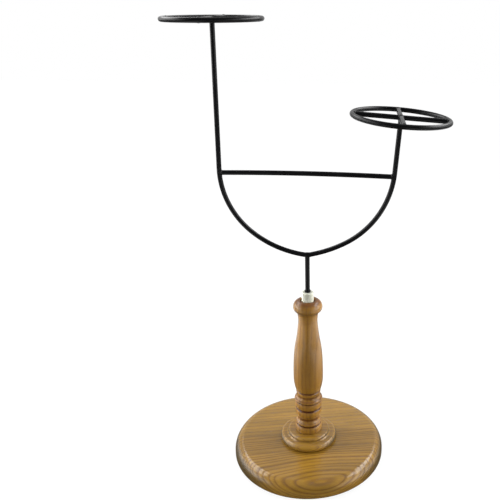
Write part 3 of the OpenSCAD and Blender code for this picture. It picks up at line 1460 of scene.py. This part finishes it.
@dataclass
class WireFrame:
    """The bent and welded wire frame: stem, two arms, crossbar and two rings."""

    wire_r: float
    stem_foot: float
    fork_z: float
    collar_z: float
    upper: WireRing
    lower: WireRing
    long_bend: Bends = (104.0, 51.0, 33.5)
    short_bend: Bends = (115.0, 56.5, 17.5)
    crossbar_z: float = 391.3
    crossbar_bow: float = 1.5
    collar_r: float = 3.9
    collar_h: float = 2.5
    collar_edge: float = 0.6
    collar_sides: int = 64
    arc_step: float = 1.5
    weld_inset: float = 0.95
    fork_rise: float = 0.1

    def arm_route(self, reach: float, top: float, lean: float, bends: Bends) -> list[Vector]:
        """Route of an arm on the -X side, from its ring down to the fork.

        Args:
            reach: Distance of the arm's top from the stem.
            top: Height of the arm's top.
            lean: Outward lean of the arm, in degrees.
            bends: Radius and sweep of the first bend, and sweep of the second.

        Returns:
            Points of the arm's centre line.
        """
        radius, sweep, last_sweep = bends
        first, second = lean + sweep, lean + sweep + last_sweep
        side = reach - radius * bend_side(lean, first)
        drop = top - self.fork_z - radius * bend_drop(lean, first)
        lean_sin, lean_cos = math.sin(math.radians(lean)), math.cos(math.radians(lean))
        side_2, drop_2 = bend_side(first, second), bend_drop(first, second)
        scale = lean_sin * drop_2 - lean_cos * side_2
        straight = (side * drop_2 - drop * side_2) / scale
        last_radius = (drop * lean_sin - side * lean_cos) / scale

        spot = Vector((-reach, 0, top))
        route = [spot.copy()]
        spot += straight * Vector((lean_sin, 0, -lean_cos))
        route.append(spot.copy())
        for turn_radius, start, end in ((radius, lean, first), (last_radius, first, second)):
            count = round((end - start) / self.arc_step)
            for step in range(1, count + 1):
                heading = start + (end - start) * step / count
                move = Vector((bend_side(start, heading), 0, -bend_drop(start, heading)))
                route.append(spot + turn_radius * move)
            spot = route[-1].copy()
        return route

    def crossbar_route(self) -> list[Vector]:
        """Route of the crossbar, a shallow arch between the two arms.

        Returns:
            Points of its centre line.
        """
        left = self.upper.centre.x
        lean = math.radians(self.lower.lean)
        right = self.lower.centre.x - (self.lower.centre.z - self.crossbar_z) * math.tan(lean)
        arch = bulge((right, self.crossbar_z), (left, self.crossbar_z), self.crossbar_bow, 48)
        return [Vector((x, 0, z)) for x, z in arch]

    def joints(self, crossbar: list[Vector], fork: Vector, arms: dict[str, list[Vector]]) -> list[Weld]:
        """Beads at the crossbar's ends, under the rings and at the fork.

        Args:
            crossbar: The crossbar's route.
            fork: Where the arms meet the stem.
            arms: The arms' routes.

        Returns:
            The beads.
        """
        inset = self.weld_inset * self.wire_r
        beads = []
        for end, inner in ((crossbar[0], crossbar[1]), (crossbar[-1], crossbar[-2])):
            way = (inner - end).normalized()
            beads.append(Weld(Bead.CROSSBAR, end + way * inset, way))
        for route in arms.values():
            way = (route[1] - route[0]).normalized()
            beads.append(Weld(Bead.ARM_TOP, route[0] + way * inset, way))
        beads.append(Weld(Bead.FORK, fork + Vector((0, 0, self.fork_rise * self.wire_r)), Vector((1, 0, 0))))
        return beads

    def collar(self) -> Profile:
        """Closed outline of the small collar on the stem that rests on the bush.

        Returns:
            Radius and height of each point.
        """
        edge = self.collar_edge
        top = self.collar_z + self.collar_h
        skirt = arc((self.collar_r - edge, self.collar_z + edge), edge, -90, 0, 8)
        crown = arc((self.collar_r - edge, top - edge), edge, 0, 90, 8)
        return [(self.wire_r, self.collar_z), *skirt, *crown, (self.wire_r, top)]

    def build(self, finish: Material) -> None:
        """Makes and dresses every wire, the collar and the welds.

        Args:
            finish: The black coat.
        """
        bender = WireBender(self.wire_r)
        upper, lower = self.upper, self.lower
        fork = Vector((0, 0, self.fork_z))
        arms = {
            "long_arm": self.arm_route(-upper.centre.x, upper.centre.z, upper.lean, self.long_bend),
            "short_arm": self.arm_route(lower.centre.x, lower.centre.z, lower.lean, self.short_bend),
        }
        arms["short_arm"] = [Vector((-point.x, point.y, point.z)) for point in arms["short_arm"]]
        crossbar = self.crossbar_route()
        routes = {"stem": [Vector((0, 0, self.stem_foot)), fork], "crossbar": crossbar, **arms}
        for ring in (upper, lower):
            routes.update(ring.spokes(self.wire_r))
            mesh = bender.bend(f"{ring.tier}_rim", ring.rim(), finish, closed=True)
            place(mesh, f"wire_{ring.tier}_ring", Body.WIRE_FRAME, f"{ring.tier}_ring")
        for node, route in routes.items():
            place(bender.bend(node, route, finish), f"wire_{node}", Body.WIRE_FRAME, node)
        place_turned(
            self.collar(), self.collar_sides, finish, "wire_stop_collar", Body.WIRE_FRAME,
            "stop_collar",
        )
        beads = upper.welds(self.wire_r) + lower.welds(self.wire_r) + self.joints(crossbar, fork, arms)
        mesh = Welder(self.wire_r).weld("weld_beads", beads, finish)
        place(mesh, "weld_beads", Body.WIRE_FRAME)


def bend_side(start: float, end: float) -> float:
    """Sideways run of a bend of radius 1 between two headings, in degrees from straight down."""
    return math.cos(math.radians(start)) - math.cos(math.radians(end))


def bend_drop(start: float, end: float) -> float:
    """Downward run of a bend of radius 1 between two headings, in degrees from straight down."""
    return math.sin(math.radians(end)) - math.sin(math.radians(start))


# ---------------------------------------------------------------- studio


@dataclass(frozen=True)
class SoftBox:
    """A large rectangular light that faces the post: metres, and watts."""

    name: str
    spot: tuple[float, float, float]
    power: float
    width: float = 1.2
    height: float = 0.45
    aim_height: float = 0.25

    def hang(self) -> None:
        """Hangs the light in the scene."""
        data = bpy.data.lights.new(self.name, "AREA")
        data.shape = "RECTANGLE"
        data.size, data.size_y = self.width, self.height
        data.energy = self.power
        light = bpy.data.objects.new(self.name, data)
        light.location = self.spot
        aim = Vector((0, 0, self.aim_height)) - light.location
        light.rotation_euler = aim.to_track_quat("-Z", "Y").to_euler()
        link(light)


@dataclass
class Studio:
    """Pale floor, soft lights and the camera. Angles are in degrees."""

    floor_half: float = 4.0
    floor_seen: float = 0.9
    floor_reflected_glow: float = 1.1
    wall_left: float = 1.3
    wall_right: float = 0.95
    wall_glow: float = 11.0
    wall_gloss: float = 1.9
    back_glow: float = 0.2
    back_gloss: float = 0.6
    ceiling_edge: float = 0.03
    ceiling_top: float = 0.3
    eye: tuple[float, float, float] = (0.0976, -0.7638, 0.5956)
    look_down: float = 17.12
    look_left: float = 5.655
    lens: float = 47.48
    shift: tuple[float, float] = (-0.1495, -0.0986)
    boxes: tuple[SoftBox, ...] = (
        SoftBox("left_softbox", (-0.75, 0.37, 1.05), 6.5),
        SoftBox("right_softbox", (0.77, 0.4, 1.03), 8.5),
    )

    def floor(self) -> None:
        """The plain floor, white to the eye; a band beside the stand glows only in reflections, a painted
        reflection that the varnish mirrors.
        """
        form = bmesh.new()
        bmesh.ops.create_grid(form, x_segments=8, y_segments=8, size=self.floor_half)
        floor = bpy.data.objects.new("floor", tidy_mesh(form, "floor"))
        link(floor)
        material, patch = new_material("pale_paper")
        spot = patch.spot()
        tooth = patch.noise(spot, 300.0, 3.0)
        side = patch.math("ABSOLUTE", patch.node("ShaderNodeSeparateXYZ", {0: spot}).outputs["X"])
        # Painted reflection: the floor glows in this band for glossy rays only.
        band = patch.slope(side, 0.14, 0.4, 0.0, self.floor_reflected_glow)
        band = patch.times(band, patch.slope(side, 0.45, 0.7, 1.0, 0.0))
        path = patch.node("ShaderNodeLightPath").outputs
        gloss = patch.times(path["Is Glossy Ray"], band)
        finish_surface(patch, {
            "Base Color": patch.mix(tooth, (0.11, 0.11, 0.11), (0.13, 0.13, 0.13)),
            "Roughness": 0.9,
            "Specular IOR Level": 0.1,
            "Emission Color": (1.0, 1.0, 1.0),
            "Emission Strength": patch.plus(patch.times(path["Is Camera Ray"], self.floor_seen), gloss),
        })
        dress(floor.data, material)

    def camera(self) -> None:
        """The camera, a little right of the stand's middle and above it."""
        data = bpy.data.cameras.new("camera")
        data.lens = self.lens
        data.shift_x, data.shift_y = self.shift
        data.clip_start = 0.01
        camera = bpy.data.objects.new("camera", data)
        camera.location = self.eye
        camera.rotation_euler = (math.radians(90 - self.look_down), 0, math.radians(self.look_left))
        link(camera)
        bpy.context.scene.camera = camera

    def world(self) -> None:
        """White to the eye, and a soft room with a dark front to everything else."""
        world = bpy.data.worlds.new("room")
        bpy.context.scene.world = world
        world.use_nodes = True
        patch = Patch(world.node_tree)
        way = patch.node("ShaderNodeTexCoord").outputs["Generated"]
        x, y, z = patch.node("ShaderNodeSeparateXYZ", {0: way}).outputs
        uneven = patch.slope(x, -1.0, 1.0, self.wall_left, self.wall_right)
        walls = patch.times(patch.slope(patch.math("ABSOLUTE", x), 0.6, 1.0), uneven)
        level_glow = patch.slope(patch.math("ABSOLUTE", z), 0.1, 0.6, self.wall_glow, 0.0)
        back = patch.times(patch.slope(y, -0.4, 0.4), self.back_glow)
        above = patch.slope(z, 0.2, 1.0, self.ceiling_edge, self.ceiling_top)
        soft = patch.plus(patch.plus(patch.times(walls, level_glow), back), above)
        gloss = patch.scaled(walls, self.wall_gloss, above)
        gloss = patch.scaled(patch.slope(y, 0.5, 0.9), self.back_gloss, gloss)
        path = patch.node("ShaderNodeLightPath").outputs
        level = patch.between(path["Is Glossy Ray"], soft, gloss)
        level = patch.between(path["Is Camera Ray"], level, 1.0)
        room = patch.node("ShaderNodeBackground", {"Color": (1.0, 1.0, 1.0), "Strength": level})
        patch.node("ShaderNodeOutputWorld", {"Surface": room.outputs[0]})

    def build(self) -> None:
        """Sets up the whole studio."""
        self.floor()
        self.camera()
        self.world()
        for box in self.boxes:
            box.hang()
        bpy.context.scene.view_settings.view_transform = "Standard"


# ---------------------------------------------------------------- the whole stand


def board_cuts(foot: TurnedFoot) -> dict[Side, OakCut]:
    """How the two boards of the foot lay in the log.

    Args:
        foot: The foot.

    Returns:
        The oak of each board.
    """
    angle = math.radians(foot.glue_angle)
    along = Vector((math.cos(angle), math.sin(angle), -0.03))
    figure = Vector((24.9, -88.5, 21.2))
    outward, pith_out, pith_up = Vector((0.2706, -0.9627, 0)), 45, 117
    above = outward * pith_out + Vector((0, 0, pith_up))
    return {
        Side.FRONT: OakCut(
            "front_board_oak", along, figure + above, pith_distance_tone=(150, 182, 0.84),
            swell=Swell(figure, height=7.0, length=40.0, width=45.0), wander=0.7, figure=0.75,
        ),
        Side.BACK: OakCut(
            "back_board_oak", Vector((math.cos(angle), math.sin(angle), 0.02)), Vector((0, 190, 70)),
            spacing=6.5, wander=1.6, tint=(1.08, 1.1, 1.0), figure=0.4,
        ),
    }


def plain_nodes(finishes: dict[str, Material]) -> None:
    """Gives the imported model's own nodes their finish.

    Args:
        finishes: The finish of each node.
    """
    for name, material in finishes.items():
        dress(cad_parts[name].data, material)
        log.info("%s: %s", name, material.name)


def main() -> None:
    """Builds the studio and the stand, piece by piece."""
    logging.basicConfig(level=logging.INFO, format="%(message)s")
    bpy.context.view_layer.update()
    Studio().build()

    foot_low, foot_high = corners("foot_front_board")
    foot = TurnedFoot(radius=-foot_low.y, top=foot_high.z, underside=foot_low.z)
    foot.build(board_cuts(foot))

    ring_low, ring_high = corners("step_ring")
    step = StepRing(lower_r=ring_high.x, foot_top=ring_low.z, height=ring_high.z - ring_low.z)
    step.build(OakCut("step_oak", Vector((1, 0.1, 0)), Vector((10, 60, -60)), spacing=3.2, figure=0.5))

    bush_low, bush_high = corners("socket_bush")
    stem_low, stem_high = corners("stem")
    post_low, post_high = corners("post")
    post = TurnedPost(
        step_top=ring_high.z,
        knob_top=post_high.z,
        vase_r=post_high.x,
        bush_r=bush_high.x,
        bush_foot=bush_low.z,
        stem_foot=stem_low.z,
        tenon_foot=post_low.z,
    )
    post.build(OakCut(
        "post_oak", Vector((0.012, 0.004, 1)), Vector((96, -30, 0)), spacing=5.4, wander=1.2,
        wander_length=160.0, tint=(1.0, 0.92, 1.1), figure=0.3,
        tones=OakTones(end_grain_and_shade=srgb(172, 138, 110)),
    ))
    SocketBush(radius=bush_high.x, foot=bush_low.z, top=bush_high.z).build(MILKY_PLASTIC)

    wire_r = stem_high.x
    upper_low, upper_high = corners("upper_ring")
    ring_r = (upper_high.x - upper_low.x) / 2 - wire_r
    wires = WireFrame(
        wire_r=wire_r,
        stem_foot=stem_low.z,
        fork_z=stem_high.z,
        collar_z=bush_high.z,
        upper=WireRing("upper", middle("upper_ring"), ring_r),
        lower=WireRing("lower", middle("lower_ring"), ring_r, lean=4.5, turn=3.0),
    )
    wires.build(BLACK_ENAMEL.material())

    zinc = ZINC_PLATE.material()
    plain_nodes({"felt_disc": WoolFelt().material(), "post_screw": zinc, "screw_washer": zinc})


if __name__ == "__main__":
    main()
